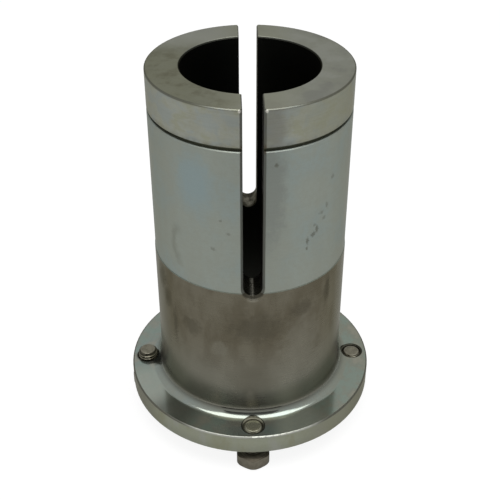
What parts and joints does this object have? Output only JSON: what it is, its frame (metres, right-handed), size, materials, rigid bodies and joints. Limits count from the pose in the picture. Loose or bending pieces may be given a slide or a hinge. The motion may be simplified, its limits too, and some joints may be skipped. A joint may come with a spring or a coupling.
{
  "type": "clamping bushing",
  "caption": "Thick-walled flanged steel sleeve with a through bore, split by long slots at one end for clamping on a shaft, ring groove near that end, and hex screws through the flange.",
  "frame": {"origin": "centre of the bore at the flange's underside", "axes": "+Z along the bore from the flange towards the slotted open end, and the two slots face -Y and +Y"},
  "size_m": [0.1018, 0.1026, 0.1515],
  "materials": {
    "sleeve_steel": "turned and bright zinc plated, with a duller ground seat",
    "screw_steel": "plain steel, slightly brown with age"
  },
  "bodies": {
    "root": {"flanged_sleeve": "sleeve_steel", "flange_screws": "screw_steel"}
  },
  "joints": []
}
